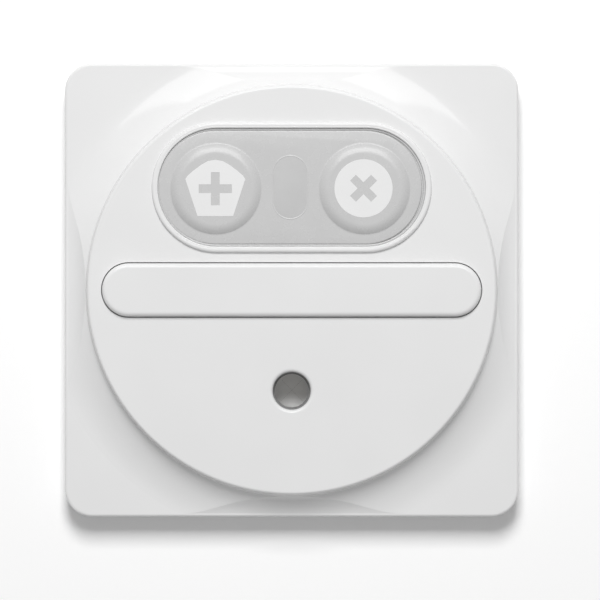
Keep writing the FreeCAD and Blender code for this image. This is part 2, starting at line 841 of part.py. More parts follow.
def light_window():
    """Models the lens between the keys, with its flange behind the mat."""
    body = new_body("light_window")
    length = d.window_length + d.window_flange * 2
    width = d.window_width + d.window_flange * 2
    flange = obround_sketch(body, "lens_flange_outline", length, width, z=window_back, upright=True)
    pad(body, "lens_flange", flange, d.window_flange_thickness)
    foot = mat_back - d.weld
    lens = obround_sketch(body, "lens_outline", d.window_length, d.window_width, z=foot, upright=True)
    pad(body, "lens", lens, window_front - mat_back + d.weld)
    round_edges(body, "lens_rounding", d.window_edge, at_level(window_front))
    finish(body, "light_window", y=keypad_centre)


def light_shroud():
    """Models the tube that stands on the board round the two lamps and carries the window's flange."""
    body = new_body("light_shroud")
    outer = obround_sketch(
        body, "shroud_outline", d.window_length + d.window_flange * 2, d.window_width + d.window_flange * 2,
        z=board_front, upright=True,
    )
    pad(body, "shroud", outer, window_back - board_front)
    inner = obround_sketch(
        body, "shroud_bore_outline", d.window_length, d.window_width, z=board_front - d.weld, upright=True
    )
    pocket(body, "shroud_bore", inner, window_back - board_front + d.weld * 2)
    finish(body, "light_shroud", y=keypad_centre)


def keypad_frame():
    """Models the frame that stands on the board and presses the mat's flange against the plate."""
    body = new_body("keypad_frame")
    outer = obround_sketch(body, "frame_outline", flange_length, flange_width, z=board_front)
    pad(body, "frame", outer, mat_back - board_front)
    inner = obround_sketch(
        body, "frame_bore_outline", flange_length - d.frame_wall * 2, flange_width - d.frame_wall * 2,
        z=board_front - d.weld,
    )
    pocket(body, "frame_bore", inner, mat_back - board_front + d.weld * 2)
    finish(body, "keypad_frame", y=keypad_centre)


# Cover strip

def cover_strip():
    """Models the round-ended strip, hollow behind, with two pegs that push into the plate."""
    body = new_body("cover_strip")
    top = face + d.strip_rise
    outline = obround_sketch(body, "strip_outline", strip_length, d.strip_width, z=seat_floor)
    pad(body, "strip", outline, top - seat_floor)
    round_edges(body, "strip_rounding", d.strip_edge, at_level(top))
    hollow = obround_sketch(
        body, "strip_hollow_outline", strip_length - d.strip_wall * 2, d.strip_width - d.strip_wall * 2,
        z=seat_floor - d.weld,
    )
    roof = top - d.strip_wall
    pocket(body, "strip_hollow", hollow, roof - seat_floor + d.weld)
    pegs = [(x, 0, d.peg_radius) for x in (-d.peg_spacing / 2, d.peg_spacing / 2)]
    peg_end = seat_floor - d.peg_length
    pad(body, "pegs", circles_sketch(body, "peg_outlines", pegs, peg_end), roof + d.weld - peg_end)
    finish(body, "cover_strip")


# Circuit board and what fastens it

def circuit_board():
    """Models the round board with notches for the screw bosses and holes for the socket and the screws."""
    body = new_body("circuit_board")
    disc = circles_sketch(body, "board_outline", [(0, 0, board_radius)], d.board_back)
    pad(body, "board", disc, d.board_thickness)
    notch_radius = d.fixing_boss_radius + d.board_notch_gap
    depth = d.board_thickness + d.weld * 2
    low = d.board_back - d.weld
    holes = [(x, 0, notch_radius) for x in (-half_fixing, half_fixing)]
    pocket(body, "notches", circles_sketch(body, "notch_outlines", holes, low), depth)
    for side, name in ((-1, "left"), (1, "right")):
        reach = board_radius
        centre = (half_fixing + reach / 2) * side
        box_feature(body, f"{name}_notch_mouth", reach, notch_radius * 2, depth, x=centre, z=low, cut=True)
    holes = [(x, y, d.board_screw_radius + d.board_hole_gap) for x, y in pillar_places()]
    holes.append((0, -d.jack_centre, nose_radius + d.nose_gap))
    pocket(body, "board_holes", circles_sketch(body, "board_hole_outlines", holes, low), depth)
    finish(body, "circuit_board")


def board_screws():
    """Models the four screws that hold the board on its pillars."""
    screws = []
    head_height = d.board_screw_head_height
    head_bottom = d.board_back - head_height
    for index, (x, y) in enumerate(pillar_places(), 1):
        shank = bar(f"screw_shank_{index}", d.board_screw_radius, d.board_screw_length, x, y, d.board_back)
        head = bar(f"screw_head_{index}", d.board_screw_head_radius, head_height, x, y, head_bottom)
        whole = fuse(f"screw_blank_{index}", [shank, head])
        slot = block(
            f"screw_slot_{index}", d.board_screw_head_radius * 3, d.board_screw_slot, head_height,
            x, y, head_bottom - head_height / 2,
        )
        screws.append(cut(f"screw_{index}", whole, slot))
    finish(gather("board_screws", screws), "board_screws")


# Switches and lamps on the board's front

def switch(label, side):
    """Models a tactile switch: its square case with a round bore, and the plunger in it."""
    x = half_keys * side
    case = block(f"{label}_case", d.switch_side, d.switch_side, d.switch_height, 0, 0, board_front)
    bore_depth = d.plunger_depth + d.key_travel + d.plunger_gap
    bore = bar(
        f"{label}_bore", d.plunger_radius + d.plunger_gap, bore_depth + d.weld, 0, 0, switch_top - bore_depth
    )
    finish(cut(label, case, bore), label, x=x, y=keypad_centre)
    plunger = bar(
        f"{label}_plunger", d.plunger_radius, d.plunger_rise + d.plunger_depth, x, keypad_centre, 0
    )
    finish(plunger, f"{label}_plunger", x=x, y=keypad_centre, z=switch_top - d.plunger_depth)


def lamp(label, side):
    """Models one lamp behind the window."""
    level = keypad_centre + d.lamp_spacing / 2 * side
    solid_block(label, d.lamp_width, d.lamp_length, d.lamp_height, 0, level, board_front)


# Jack socket

def jack_housing():
    """Models the socket's case: a square body, a round nose through the board, channels for springs."""
    body = new_body("jack_housing")
    box_feature(body, "case", d.jack_side, d.jack_side, d.jack_depth, z=jack_back)
    nose = circles_sketch(body, "nose_outline", [(0, 0, nose_radius)], d.board_back - d.weld)
    pad(body, "nose", nose, nose_front - d.board_back + d.weld)
    shaft_low = jack_back + d.jack_end_wall
    shaft = circles_sketch(body, "shaft_outline", [(0, 0, shaft_radius)], shaft_low)
    pocket(body, "shaft", shaft, bush_back - shaft_low + d.weld)
    bush_seat = circles_sketch(body, "bush_seat_outline", [(0, 0, bush_radius + d.bush_fit)], bush_back)
    pocket(body, "bush_seat", bush_seat, d.bush_length + d.weld)
    for side, name, reach in ((1, "tip", d.tip_spring_reach), (-1, "ring", d.ring_spring_reach)):
        channel_depth = d.jack_side / 2 + d.weld - bore_radius / 2
        height = reach + d.spring_gap
        box_feature(
            body, f"{name}_channel", d.spring_width + d.spring_gap * 2, channel_depth, height + d.weld,
            y=(d.jack_side / 2 + d.weld - channel_depth / 2) * side, z=d.board_back - height, cut=True,
        )
    finish(body, "jack_housing", y=-d.jack_centre)


def jack_bush():
    """Models the metal bush that lines the nose and guides the plug."""
    body = new_body("jack_bush")
    ring = circles_sketch(body, "bush_outline", [(0, 0, bush_radius), (0, 0, bore_radius)], bush_back)
    pad(body, "bush", ring, d.bush_length)
    finish(body, "jack_bush", y=-d.jack_centre)


def jack_spring(label, side, reach):
    """Models one contact spring: a strip bent in to touch the plug, with a turned-out end."""
    body = new_body(label)
    outer = d.jack_side / 2 - d.spring_gap
    inner = outer - d.spring_thickness
    touch = bore_radius - d.spring_bump
    top = d.board_back
    low = d.board_back - reach
    knee = low + d.spring_bend * 3
    bump = low + d.spring_bend
    profile = [
        (outer, top), (outer, knee), (touch + d.spring_thickness, bump), (touch + d.spring_bend, low),
        (touch + d.spring_bend - d.spring_thickness, low), (touch, bump), (inner, knee), (inner, top),
    ]
    profile = [(u * side, v) for u, v in profile]
    sketch = polygon_sketch(body, f"{label}_outline", profile, -d.spring_width / 2, "YZ_Plane")
    pad(body, f"{label}_strip", sketch, d.spring_width)
    finish(body, label, y=-d.jack_centre)


# Terminal block

def terminal_places():
    """The x of each terminal."""
    return [d.terminal_pitch * (way - (TERMINAL_WAYS - 1) / 2) for way in range(TERMINAL_WAYS)]


def terminal_block():
    """Models the block with a wire entry, a clamp chamber and a screw shaft for each wire."""
    back = d.board_back - d.terminal_height
    base = block("terminal_body", terminal_length, d.terminal_depth, d.terminal_height, 0, 0, back)
    tools = []
    chamber_height = d.clamp_height + d.clamp_gap * 2
    chamber_low = d.board_back - d.wire_level - chamber_height / 2
    for way, x in enumerate(terminal_places(), 1):
        tools.append(block(
            f"chamber_{way}", d.clamp_width + d.clamp_gap * 2, d.clamp_depth + d.clamp_gap * 2,
            chamber_height, x, 0, chamber_low,
        ))
        tools.append(block(
            f"entry_{way}", d.wire_entry, d.terminal_depth, d.wire_entry,
            x, -d.terminal_depth / 2, d.board_back - d.wire_level - d.wire_entry / 2,
        ))
        shaft_height = chamber_low + d.weld * 2 - (d.board_back - d.terminal_height)
        tools.append(bar(
            f"shaft_{way}", d.terminal_head_radius + d.terminal_screw_gap, shaft_height,
            x, 0, d.board_back - d.terminal_height - d.weld,
        ))
    finish(cut("terminal_block", base, fuse("terminal_tools", tools)), "terminal_block", y=d.terminal_centre)


def terminal_clamp(way, x):
    """Models one wire clamp: a square cage open along the wire, drilled for its screw."""
    low = d.board_back - d.wire_level - d.clamp_height / 2
    cage = block(f"cage_{way}", d.clamp_width, d.clamp_depth, d.clamp_height, 0, 0, low)
    tunnel = block(
        f"tunnel_{way}", d.clamp_width - d.clamp_wall * 2, d.clamp_depth + d.weld * 2,
        d.clamp_height - d.clamp_wall * 2, 0, 0, low + d.clamp_wall,
    )
    drill_radius = d.terminal_screw_radius + d.terminal_screw_gap
    drill = bar(f"drill_{way}", drill_radius, d.clamp_wall + d.weld * 2, 0, 0, low - d.weld)
    clamp = cut(f"clamp_{way}", cage, fuse(f"clamp_tools_{way}", [tunnel, drill]))
    finish(clamp, f"terminal_clamp_{way}", x=x, y=d.terminal_centre)


def terminal_screws():
    """Models the screws that close the clamps, reached from the back."""
    back = d.board_back - d.terminal_height
    head_low = back + d.terminal_head_sink
    shank_low = head_low + d.terminal_head_height
    shank_high = d.board_back - d.wire_level - d.clamp_height / 2 + d.clamp_wall * 2
    screws = []
    for way, x in enumerate(terminal_places(), 1):
        head = bar(f"terminal_head_{way}", d.terminal_head_radius, d.terminal_head_height, x, 0, head_low)
        shank_length = shank_high - shank_low
        shank = bar(f"terminal_shank_{way}", d.terminal_screw_radius, shank_length, x, 0, shank_low)
        blank = fuse(f"terminal_blank_{way}", [head, shank])
        slot = block(
            f"terminal_slot_{way}", d.terminal_head_radius * 3, d.terminal_screw_slot,
            d.terminal_head_height / 2, x, 0, head_low,
        )
        screws.append(cut(f"terminal_screw_{way}", blank, slot))
    finish(gather("terminal_screws", screws), "terminal_screws", y=d.terminal_centre)


# Parts soldered to the board's back

def back_parts():
    """Models the chips, regulator, capacitor, crystal and resistors."""
    back = d.board_back
    solid_block(
        "controller_chip", d.chip_side, d.chip_side, d.chip_height, -d.chip_x, d.chip_y, back - d.chip_height
    )
    solid_block(
        "line_driver_chip", d.driver_length, d.driver_width, d.driver_height, d.driver_x, d.driver_y,
        back - d.driver_height,
    )
    solid_block(
        "regulator", d.regulator_length, d.regulator_width, d.regulator_height,
        d.regulator_x, -d.regulator_y, back - d.regulator_height,
    )
    solid_block(
        "crystal", d.crystal_length, d.crystal_width, d.crystal_height, -d.crystal_x, -d.crystal_y,
        back - d.crystal_height,
    )
    foot = block(
        "capacitor_foot", d.capacitor_foot_side, d.capacitor_foot_side, d.capacitor_foot_height, 0, 0,
        back - d.capacitor_foot_height,
    )
    can = bar("capacitor_can", d.capacitor_radius, d.capacitor_height, 0, 0, back - d.capacitor_height)
    finish(fuse("capacitor", [foot, can]), "smoothing_capacitor", x=d.capacitor_x, y=d.capacitor_y)
    for index in range(RESISTORS):
        x = d.resistor_pitch * index - d.resistor_x
        solid_block(
            f"chip_resistor_{index + 1}", d.resistor_width, d.resistor_length, d.resistor_height,
            x, -d.resistor_y, back - d.resistor_height,
        )


def check_and_export():
    """Stops on any failed object, then writes each piece to its own file."""
    doc.recompute()
    for item in doc.Objects:
        if "Invalid" in item.State or "Error" in item.State:
            raise ValueError(f"{item.Name} is {item.State}")
    for item in finished:
        shape = item.Shape
        if shape.isNull() or not shape.isValid():
            raise ValueError(f"{item.Label} has no valid shape")
    os.makedirs("parts", exist_ok=True)
    for item in finished:
        item.Shape.exportStep(f"parts/{item.Label}.step")
        print(item.Label, len(item.Shape.Solids), round(item.Shape.Volume, 2), item.Shape.BoundBox)


front_plate()
keypad_mat()
key("call_key", -1)
key("reset_key", 1)
light_window()
light_shroud()
keypad_frame()
cover_strip()
circuit_board()
board_screws()
switch("call_switch", -1)
switch("reset_switch", 1)
lamp("upper_light", 1)
lamp("lower_light", -1)
jack_housing()
jack_bush()
jack_spring("jack_tip_spring", 1, d.tip_spring_reach)
jack_spring("jack_ring_spring", -1, d.ring_spring_reach)
terminal_block()
for number, place in enumerate(terminal_places(), 1):
    terminal_clamp(number, place)
terminal_screws()
back_parts()
check_and_export()
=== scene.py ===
import bpy
import json
from math import cos, pi, radians, sin
from mathutils import Matrix, Vector


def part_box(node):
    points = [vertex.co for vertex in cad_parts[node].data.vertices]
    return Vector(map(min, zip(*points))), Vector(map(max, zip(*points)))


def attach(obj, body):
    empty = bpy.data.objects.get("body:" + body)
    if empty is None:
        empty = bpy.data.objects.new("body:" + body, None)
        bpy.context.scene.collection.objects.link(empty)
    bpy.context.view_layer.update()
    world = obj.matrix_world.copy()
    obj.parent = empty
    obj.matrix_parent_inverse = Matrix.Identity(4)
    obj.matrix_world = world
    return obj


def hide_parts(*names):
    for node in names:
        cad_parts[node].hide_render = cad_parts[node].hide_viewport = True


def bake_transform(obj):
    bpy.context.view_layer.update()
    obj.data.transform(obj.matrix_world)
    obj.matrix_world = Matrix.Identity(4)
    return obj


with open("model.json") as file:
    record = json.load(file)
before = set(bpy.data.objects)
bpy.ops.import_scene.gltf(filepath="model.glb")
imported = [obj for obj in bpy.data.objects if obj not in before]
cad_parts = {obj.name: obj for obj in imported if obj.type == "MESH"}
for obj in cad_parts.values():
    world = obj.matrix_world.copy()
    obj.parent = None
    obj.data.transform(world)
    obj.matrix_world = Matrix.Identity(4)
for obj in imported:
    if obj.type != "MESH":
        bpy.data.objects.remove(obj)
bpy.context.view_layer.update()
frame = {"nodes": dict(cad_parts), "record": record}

MM = 0.001

# The photograph's frame: 600 pixels wide, seen straight on; its scale holds a little behind the front face
PIXELS = 600
PIXELS_PER_MM = 5.215
PLATE_CENTRE = (291.7, 290.0)
SCALE_LEVEL = -7.0 * MM
CAMERA_DISTANCE = 1.2
SENSOR = 36.0

# Levels of the solids that the new pieces sit on
KEY_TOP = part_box("call_key")[0][1]
MAT_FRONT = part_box("keypad_mat")[0][1]
MAT_FACE = MAT_FRONT - 0.4 * MM
BEAD_TOP = MAT_FRONT - 0.8 * MM
BOARD_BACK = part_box("circuit_board")[1][1]

# The dark stripe on the capacitor's end: its straight edge along X, and the level that it starts at
STRIPE_EDGE = 14.2 * MM
STRIPE_START = 6.0 * MM

# The keypad: its middle and the keys' places; half lengths and widths of its slots, in millimetres
KEYPAD_CENTRE = 19.6 * MM
KEY_X = 14.2 * MM
KEY_RADIUS = 8.6 * MM
KEY_GAP = 0.15 * MM
KEY_SHIFT = -0.28 * MM
KEY_LEVEL = KEYPAD_CENTRE - 0.3 * MM
MAT_SLOT = (25.2, 10.88)
SEAL_SLOT = (25.4, 11.1)
BEAD_SLOT = (25.88, 11.58)
WINDOW_SLOT = (6.0, 3.25)
WINDOW_LIP_SLOT = (6.05, 3.3)
WINDOW_FACE_SLOT = (5.95, 3.2)

# The printed marks: places, the plus and the cross by half length and width, and the house in millimetres
PRINT_THICKNESS = 0.03 * MM
CALL_MARK_PLACE = (KEY_SHIFT - KEY_X - 0.1 * MM, KEY_LEVEL - 0.2 * MM)
RESET_MARK_PLACE = (KEY_SHIFT + KEY_X - 0.2 * MM, KEY_LEVEL + 0.1 * MM)
PLUS_RISE = 0.22 * MM
PLUS_ARM, PLUS_WIDTH = 3.17 * MM, 1.68 * MM
CROSS_ARM, CROSS_WIDTH = 2.85 * MM, 1.6 * MM
DISC_RADIUS = 5.55 * MM
HOUSE_MARK = [
    (-3.4, -4.99), (3.4, -4.99), (5.72, 2.05), (5.3, 2.72), (4.1, 3.75), (2.8, 4.72), (1.45, 5.5),
    (0.0, 5.75), (-1.45, 5.5), (-2.8, 4.72), (-4.1, 3.75), (-5.3, 2.72), (-5.72, 2.05),
]

# The wall: half width and corner radius of its opening, how many times wider it reaches, its level and colour
WALL_HALF = 43.3 * MM
WALL_CORNER = 5.0 * MM
WALL_REACH = 20
WALL_LEVEL = 0.05 * MM
WALL_WHITE = 0.97

# Light: the wall's gain to the camera's eye, the world's fill, and the brightness of each lamp's face
WALL_GAIN = 0.09
WORLD_FILL = 0.33
KEY_STRENGTH = 17.0
PANEL_STRENGTH = 2.2
BACK_STRENGTH = KEY_STRENGTH * 0.6


# Shared helpers

def nothing_selected():
    """Deselects every object, so that an operator acts on the new piece alone."""
    for item in bpy.context.selected_objects:
        item.select_set(False)


def in_scene(name, data):
    """A new object with this data, put into the scene."""
    item = bpy.data.objects.new(name, data)
    bpy.context.scene.collection.objects.link(item)
    return item


def drawn(name, spots, filled=False):
    """A closed outline through points: its edges alone, or one flat face."""
    mesh = bpy.data.meshes.new(name)
    count = len(spots)
    edges = [] if filled else [(i, (i + 1) % count) for i in range(count)]
    mesh.from_pydata(spots, edges, [tuple(range(count))] if filled else [])
    return in_scene(name, mesh)


def new_block(name, low, high):
    """A block between two opposite corners."""
    nothing_selected()
    centre = [(a + b) / 2 for a, b in zip(low, high)]
    size = [abs(b - a) for a, b in zip(low, high)]
    bpy.ops.mesh.primitive_cube_add(size=1, location=centre, scale=size)
    return named(name)


def new_bar(name, x, z, radius, back, front, sides=48):
    """A round bar along Y at x, z, between two levels."""
    nothing_selected()
    bpy.ops.mesh.primitive_cylinder_add(
        vertices=sides, radius=radius, depth=abs(back - front), location=(x, (back + front) / 2, z),
        rotation=(pi / 2, 0, 0),
    )
    return named(name)


def named(name):
    """Names the active new piece and puts its place into its mesh."""
    piece = bpy.context.object
    piece.name = name
    piece.data.name = name
    bpy.ops.object.transform_apply(location=True, rotation=True, scale=True)
    return piece


def work(piece):
    """Makes the piece the only selected and the active one."""
    nothing_selected()
    piece.select_set(True)
    bpy.context.view_layer.objects.active = piece


def edit(piece, kind, test, *steps):
    """Selects the faces or edges whose middle passes the test, and runs edit-mode steps on them."""
    work(piece)
    bpy.ops.object.mode_set(mode="EDIT")
    bpy.ops.mesh.select_mode(type=kind)
    bpy.ops.mesh.select_all(action="DESELECT")
    bpy.ops.object.mode_set(mode="OBJECT")
    mesh = piece.data
    if kind == "FACE":
        for face in mesh.polygons:
            face.select = test(face.center, face.normal)
    else:
        for edge in mesh.edges:
            ends = [mesh.vertices[index].co for index in edge.vertices]
            edge.select = test((ends[0] + ends[1]) / 2, ends[1] - ends[0])
    bpy.ops.object.mode_set(mode="EDIT")
    for step in steps:
        step()
    bpy.ops.object.mode_set(mode="OBJECT")


def bevel(width, segments=3):
    """A step that rounds the selected edges."""
    return lambda: bpy.ops.mesh.bevel(offset=width, segments=segments, affect="EDGES", clamp_overlap=True)


def inset(width, depth=0.0):
    """A step that insets the selected faces, and sinks or raises what is left."""
    return lambda: bpy.ops.mesh.inset(thickness=width, depth=depth)


def extrude(x, y, z):
    """A step that extrudes the selected faces by a distance."""
    return lambda: bpy.ops.mesh.extrude_region_move(TRANSFORM_OT_translate={"value": (x, y, z)})


def scale_about(centre, x_share, z_share):
    """A step that scales what is selected along X and Z about a centre."""
    return lambda: bpy.ops.transform.resize(value=(x_share, 1, z_share), center_override=centre)


def face_outwards():
    """The step that turns all faces of a closed piece outwards."""
    bpy.ops.mesh.select_all(action="SELECT")
    bpy.ops.mesh.normals_make_consistent(inside=False)


def joined(name, pieces):
    """Joins pieces into the first, under one name."""
    nothing_selected()
    for piece in pieces:
        piece.select_set(True)
    bpy.context.view_layer.objects.active = pieces[0]
    bpy.ops.object.join()
    pieces[0].name = name
    pieces[0].data.name = name
    return pieces[0]


def cut_through(piece, cutters):
    """Cuts each cutter out of the piece and removes it."""
    for cutter in cutters:
        work(piece)
        cut = piece.modifiers.new("cut", "BOOLEAN")
        cut.operation = "DIFFERENCE"
        cut.solver = "EXACT"
        cut.object = cutter
        bpy.ops.object.modifier_apply(modifier=cut.name)
        bpy.data.objects.remove(cutter)


def turned_about(x, z, angle):
    """The turn by an angle about the Y line through x, z."""
    centre = Vector((x, 0, z))
    return Matrix.Translation(centre) @ Matrix.Rotation(angle, 4, "Y") @ Matrix.Translation(-centre)


def turned_profile(name, x, z, outline, steps=96):
    """Spins a closed outline of (radius, level) points about the Y line through x, z."""
    piece = drawn(name, [(x + radius, level, z) for radius, level in outline])
    work(piece)
    bpy.ops.object.mode_set(mode="EDIT")
    bpy.ops.mesh.select_all(action="SELECT")
    bpy.ops.mesh.spin(steps=steps, angle=2 * pi, center=(x, 0, z), axis=(0, 1, 0))
    bpy.ops.mesh.select_all(action="SELECT")
    bpy.ops.mesh.remove_doubles(threshold=0.001 * MM)
    face_outwards()
    bpy.ops.object.mode_set(mode="OBJECT")
    return piece


def finished(piece, finish, body="housing", replaces=(), angle=35):
    """Gives a finished piece its finish and the body that it rides on."""
    work(piece)
    bpy.ops.object.shade_smooth_by_angle(angle=radians(angle))
    piece.data.materials.clear()
    piece.data.materials.append(finishes[finish].material)
    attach(piece, body)
    if replaces:
        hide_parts(*replaces)


def middle_of(node):
    """The middle of a CAD node's box, and its size along each axis."""
    low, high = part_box(node)
    return [(a + b) / 2 for a, b in zip(low, high)], [b - a for a, b in zip(low, high)]


def add_camera():
    """Puts the camera in front of the plate, at the photograph's framing."""
    camera = in_scene("camera", bpy.data.cameras.new("camera"))
    across = (PIXELS / 2 - PLATE_CENTRE[0]) / PIXELS_PER_MM * MM
    down = (PIXELS / 2 - PLATE_CENTRE[1]) / PIXELS_PER_MM * MM
    camera.location = (across, SCALE_LEVEL - CAMERA_DISTANCE, -down)
    camera.rotation_euler = (pi / 2, 0, 0)
    camera.data.sensor_width = SENSOR
    camera.data.lens = SENSOR * CAMERA_DISTANCE / (PIXELS / PIXELS_PER_MM * MM)
    camera.data.clip_start = 0.01
    bpy.context.scene.camera = camera


# Materials

class Finish:
    """A node material: one Principled shader and the nodes that shape its colour, gloss and surface."""

    def __init__(self, name):
        self.name = name
        self.material = bpy.data.materials.new(name)
        self.material.use_nodes = True
        self.tree = self.material.node_tree
        self.shader = self.tree.nodes["Principled BSDF"]
        self.place = self.tree.nodes.new("ShaderNodeTexCoord").outputs["Object"]

    def node(self, kind, **sockets):
        """Adds a node and fills or links its inputs, whose names are written with underscores."""
        made = self.tree.nodes.new(kind)
        for name, value in sockets.items():
            self.feed(made.inputs[name.replace("_", " ")], value)
        return made

    def feed(self, socket, value):
        """Links a socket to another, or writes a plain value into it."""
        if isinstance(value, bpy.types.NodeSocket):
            self.tree.links.new(value, socket)
        else:
            socket.default_value = value

    def set(self, **sockets):
        """Sets the shader's own inputs."""
        for name, value in sockets.items():
            self.feed(self.shader.inputs[name.replace("_", " ")], value)

    def noise(self, scale, detail=2.0):
        """Noise on Object coordinates, in waves per metre."""
        made = self.node("ShaderNodeTexNoise", Vector=self.place, Scale=scale, Detail=detail)
        return made.outputs["Fac"]

    def spread(self, pattern, low, high):
        """Spreads the middle of a noise's range from low to high, without going beyond them."""
        ends = {"From_Min": 0.35, "From_Max": 0.65, "To_Min": low, "To_Max": high}
        return self.node("ShaderNodeMapRange", Value=pattern, **ends).outputs["Result"]

    def tint(self, pattern, dark, light):
        """A colour between two others, by a pattern from 0 to 1."""
        made = self.tree.nodes.new("ShaderNodeMix")
        made.data_type = "RGBA"
        self.feed(made.inputs[0], pattern)
        self.feed(made.inputs[6], dark)
        self.feed(made.inputs[7], light)
        return made.outputs[2]

    def sum(self, operation, first, second):
        """One plain sum or comparison of two values."""
        made = self.tree.nodes.new("ShaderNodeMath")
        made.operation = operation
        self.feed(made.inputs[0], first)
        self.feed(made.inputs[1], second)
        return made.outputs[0]

    def relief(self, height, strength, distance):
        """A fine relief on the surface."""
        made = self.node("ShaderNodeBump", Height=height, Strength=strength, Distance=distance)
        self.feed(self.shader.inputs["Normal"], made.outputs["Normal"])


def grey(level):
    """A neutral colour."""
    return (level, level, level, 1.0)


def moulded(name, dark, light, gloss, grain, grain_depth=0.02 * MM, blotch=90.0, strength=0.25):
    """A moulded plastic: slow colour drift, uneven gloss and a fine grain."""
    finish = Finish(name)
    finish.set(Base_Color=finish.tint(finish.spread(finish.noise(blotch), 0.0, 1.0), dark, light))
    finish.set(Roughness=finish.spread(finish.noise(blotch * 5, 3.0), *gloss))
    finish.relief(finish.noise(grain), strength, grain_depth)
    return finish


def metal(name, dark, light, gloss, grain, stretch=(1, 1, 1)):
    """A plain metal with fine marks, which a stretch turns into brushed or drawn ones."""
    finish = Finish(name)
    stretched = finish.node("ShaderNodeMapping", Vector=finish.place, Scale=stretch).outputs["Vector"]
    marks = finish.node("ShaderNodeTexNoise", Vector=stretched, Scale=grain, Detail=4.0).outputs["Fac"]
    finish.set(Base_Color=finish.tint(finish.spread(marks, 0.0, 1.0), dark, light), Metallic=1.0)
    finish.set(Roughness=finish.spread(finish.noise(grain / 3, 3.0), *gloss))
    finish.relief(marks, 0.3, 0.01 * MM)
    return finish


def make_finishes():
    """All finishes of the call point, by name."""
    rows = [
        moulded("white_shell", grey(0.795), grey(0.81), (0.08, 0.12), 900.0, 0.004 * MM, 60.0, 0.15),
        moulded("grey_silicone", grey(0.55), grey(0.565), (0.22, 0.3), 2600.0, 0.005 * MM, 120.0),
        moulded("window_lens", grey(0.53), grey(0.545), (0.5, 0.58), 4200.0, 0.012 * MM, 200.0),
        moulded("white_inner", (0.76, 0.76, 0.74, 1), (0.79, 0.79, 0.77, 1), (0.5, 0.6), 3000.0),
        moulded("black_case", grey(0.018), grey(0.026), (0.42, 0.55), 5200.0, 0.012 * MM, 300.0),
        moulded("plunger_tan", (0.3, 0.17, 0.08, 1), (0.36, 0.21, 0.1, 1), (0.4, 0.5), 4000.0),
        moulded("terminal_green", (0.04, 0.3, 0.1, 1), (0.055, 0.36, 0.125, 1), (0.38, 0.5), 3200.0),
        moulded("lamp_white", (0.83, 0.8, 0.66, 1), (0.87, 0.85, 0.74, 1), (0.12, 0.2), 1500.0),
        moulded("board_green", (0.02, 0.13, 0.05, 1), (0.03, 0.18, 0.07, 1), (0.25, 0.35), 1500.0),
        metal("screw_steel", grey(0.5), grey(0.62), (0.22, 0.34), 2500.0),
        metal("contact_metal", (0.52, 0.51, 0.49, 1), (0.6, 0.59, 0.57, 1), (0.3, 0.42), 3000.0, (1, 6, 1)),
        metal("can_metal", (0.62, 0.62, 0.64, 1), (0.74, 0.74, 0.76, 1), (0.24, 0.36), 2600.0),
        metal("solder_tin", grey(0.58), grey(0.7), (0.18, 0.34), 3500.0),
        moulded("print_white", grey(0.8), grey(0.815), (0.42, 0.5), 2600.0, 0.004 * MM, 150.0),
        moulded("track_green", (0.03, 0.2, 0.075, 1), (0.04, 0.24, 0.09, 1), (0.22, 0.32), 1500.0),
        capacitor_metal(),
        # painted shade: the dark grey of the ring inside the socket hole, in front of the bush
        moulded("shade_ring_grey", grey(0.17), grey(0.2), (0.5, 0.6), 3000.0, 0.01 * MM, 300.0),
        moulded("membrane_white", grey(0.84), grey(0.87), (0.5, 0.6), 2600.0, 0.01 * MM, 200.0),
    ]
    made = {finish.name: finish for finish in rows}
    made["grey_silicone"].set(Specular_IOR_Level=0.8)
    return made


def capacitor_metal():
    """Drawn aluminium with a dark stripe over one third of the can's end."""
    finish = metal("capacitor_metal", (0.66, 0.66, 0.68, 1), (0.78, 0.78, 0.8, 1), (0.2, 0.32), 2600.0)
    split = finish.node("ShaderNodeSeparateXYZ", Vector=finish.place)
    side = finish.sum("LESS_THAN", split.outputs["X"], STRIPE_EDGE)
    end = finish.sum("GREATER_THAN", split.outputs["Y"], STRIPE_START)
    stripe = finish.sum("MULTIPLY", side, end)
    colour = finish.shader.inputs["Base Color"].links[0].from_socket
    finish.set(Base_Color=finish.tint(stripe, colour, grey(0.03)))
    return finish


def dress_nodes(finishes):
    """Gives each CAD node the finish of its material slot in the record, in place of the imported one."""
    for row in frame["record"]["subparts"]:
        item = frame["nodes"][row["node"]]
        item.data.materials.clear()
        item.data.materials.append(finishes[row["material_slot"]].material)


def clear_packed_materials():
    """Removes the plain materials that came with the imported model."""
    for material in list(bpy.data.materials):
        bpy.data.materials.remove(material)


# Keypad: marks, keys with their webs, the mat's face and its edges

def flat_outline(name, spots, x, z, back, front):
    """A thin plate from an outline about x, z: one flat face at the back, extruded to the front."""
    piece = drawn(name, [(x + u, back, z + v) for u, v in spots], filled=True)
    edit(piece, "FACE", lambda middle, normal: True, extrude(0, front - back, 0), face_outwards)
    return piece


def cut_cross(piece, x, z, arm, width, angle, back, front):
    """Cuts a cross with even arms through a flat piece."""
    half = width / 2
    bars = []
    for turn in (0, pi / 2):
        bar = new_block("cross_bar", (x - arm, back + MM, z - half), (x + arm, front - MM, z + half))
        bar.data.transform(turned_about(x, z, angle + turn))
        bars.append(bar)
    cut_through(piece, bars)


def key_marks():
    """The printed house with a plus on the call key, and the disc with a cross on the reset key."""
    back, front = KEY_TOP + 0.01 * MM, KEY_TOP - PRINT_THICKNESS
    x, z = CALL_MARK_PLACE
    house = flat_outline("call_mark", [(u * MM, v * MM) for u, v in HOUSE_MARK], x, z, back, front)
    cut_cross(house, x, z + PLUS_RISE, PLUS_ARM, PLUS_WIDTH, 0, back, front)
    finished(house, "print_white", "call_key")
    x, z = RESET_MARK_PLACE
    disc = new_bar("reset_mark", x, z, DISC_RADIUS, back, front, 128)
    cut_cross(disc, x, z, CROSS_ARM, CROSS_WIDTH, pi / 4, back, front)
    finished(disc, "print_white", "reset_key")


